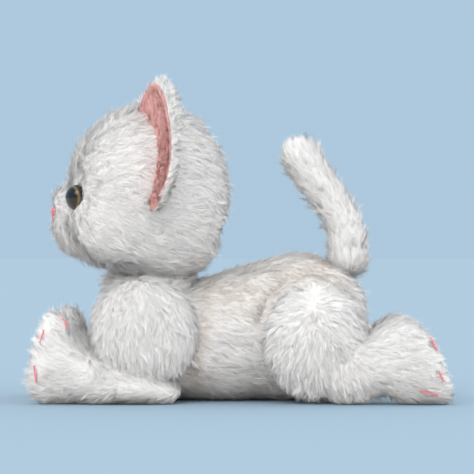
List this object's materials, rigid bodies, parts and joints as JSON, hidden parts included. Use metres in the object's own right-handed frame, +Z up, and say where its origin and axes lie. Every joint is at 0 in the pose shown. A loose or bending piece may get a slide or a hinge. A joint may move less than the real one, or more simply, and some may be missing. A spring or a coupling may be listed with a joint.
{
  "type": "plush kitten",
  "caption": "Long-pile plush kitten lying on its belly, with jointed head, ears, legs and a raised tail.",
  "frame": {"origin": "on the surface the kitten lies on, under the middle of its length and width", "axes": "+Z up, +X from the paws to the hind feet, so the face looks along -X; +Y to the kitten's right"},
  "size_m": [0.2555, 0.1276, 0.196],
  "materials": {
    "long_pile": "matte",
    "pink_pile": "matte",
    "filling": "matte",
    "thread_pink": "satin",
    "moulded_eye": "gloss",
    "moulded_washer": "matte"
  },
  "bodies": {
    "torso": {"body_side_left": "long_pile", "body_side_right": "long_pile", "belly_panel": "long_pile", "body_stuffing": "filling"},
    "neck": {"neck_tube": "long_pile", "neck_stuffing": "filling"},
    "head": {"head_side_left": "long_pile", "head_side_right": "long_pile", "head_gusset": "long_pile", "head_stuffing": "filling", "muzzle_cover": "long_pile", "muzzle_stuffing": "filling", "nose": "thread_pink", "mouth_stitch": "thread_pink", "eye_left": "moulded_eye", "eye_washer_left": "moulded_washer", "eye_right": "moulded_eye", "eye_washer_right": "moulded_washer"},
    "ear_left": {"ear_back_left": "long_pile", "ear_lining_left": "pink_pile"},
    "ear_right": {"ear_back_right": "long_pile", "ear_lining_right": "pink_pile"},
    "foreleg_left": {"foreleg_cover_left": "long_pile", "foreleg_stuffing_left": "filling", "foreleg_toe_stitch_1_left": "thread_pink", "foreleg_toe_stitch_2_left": "thread_pink", "foreleg_toe_stitch_3_left": "thread_pink"},
    "foreleg_right": {"foreleg_cover_right": "long_pile", "foreleg_stuffing_right": "filling", "foreleg_toe_stitch_1_right": "thread_pink", "foreleg_toe_stitch_2_right": "thread_pink", "foreleg_toe_stitch_3_right": "thread_pink"},
    "hind_leg_left": {"hind_leg_cover_left": "long_pile", "hind_leg_stuffing_left": "filling", "hind_leg_toe_stitch_1_left": "thread_pink", "hind_leg_toe_stitch_2_left": "thread_pink", "hind_leg_toe_stitch_3_left": "thread_pink"},
    "hind_leg_right": {"hind_leg_cover_right": "long_pile", "hind_leg_stuffing_right": "filling", "hind_leg_toe_stitch_1_right": "thread_pink", "hind_leg_toe_stitch_2_right": "thread_pink", "hind_leg_toe_stitch_3_right": "thread_pink"},
    "tail": {"tail_cover": "long_pile", "tail_stuffing": "filling"}
  },
  "joints": [
    {"name": "neck_turn", "type": "hinge", "parent": "torso", "child": "neck", "pos_m": [-0.054, 0, 0.068], "axis": [0, 0, 1], "range_deg": [-25, 25], "stiffness_Nm_per_rad": 0.4},
    {"name": "head_nod", "type": "hinge", "parent": "neck", "child": "head", "pos_m": [-0.054, 0, 0.068], "axis": [0, 1, 0], "range_deg": [-5, 8], "stiffness_Nm_per_rad": 1.5},
    {"name": "foreleg_left_swing", "type": "hinge", "parent": "torso", "child": "foreleg_left", "pos_m": [-0.054, -0.034, 0.042], "axis": [0, 1, 0], "range_deg": [-40, 16], "stiffness_Nm_per_rad": 0.3},
    {"name": "hind_leg_left_swing", "type": "hinge", "parent": "torso", "child": "hind_leg_left", "pos_m": [0.046, -0.034, 0.036], "axis": [0, 1, 0], "range_deg": [-25, 35], "stiffness_Nm_per_rad": 0.3},
    {"name": "ear_left_fold", "type": "hinge", "parent": "head", "child": "ear_left", "pos_m": [-0.051, -0.045, 0.149], "axis": [-0.2005, 0.6015, 0.7733], "range_deg": [-10, 10], "stiffness_Nm_per_rad": 0.02},
    {"name": "foreleg_right_swing", "type": "hinge", "parent": "torso", "child": "foreleg_right", "pos_m": [-0.054, 0.034, 0.042], "axis": [0, 1, 0], "range_deg": [-40, 16], "stiffness_Nm_per_rad": 0.3},
    {"name": "hind_leg_right_swing", "type": "hinge", "parent": "torso", "child": "hind_leg_right", "pos_m": [0.046, 0.034, 0.036], "axis": [0, 1, 0], "range_deg": [-25, 35], "stiffness_Nm_per_rad": 0.3},
    {"name": "ear_right_fold", "type": "hinge", "parent": "head", "child": "ear_right", "pos_m": [-0.051, 0.045, 0.149], "axis": [-0.2005, -0.6015, 0.7733], "range_deg": [-10, 10], "stiffness_Nm_per_rad": 0.02},
    {"name": "tail_sway", "type": "hinge", "parent": "torso", "child": "tail", "pos_m": [0.066, 0, 0.09], "axis": [1, 0, 0], "range_deg": [-20, 20], "stiffness_Nm_per_rad": 0.1}
  ]
}
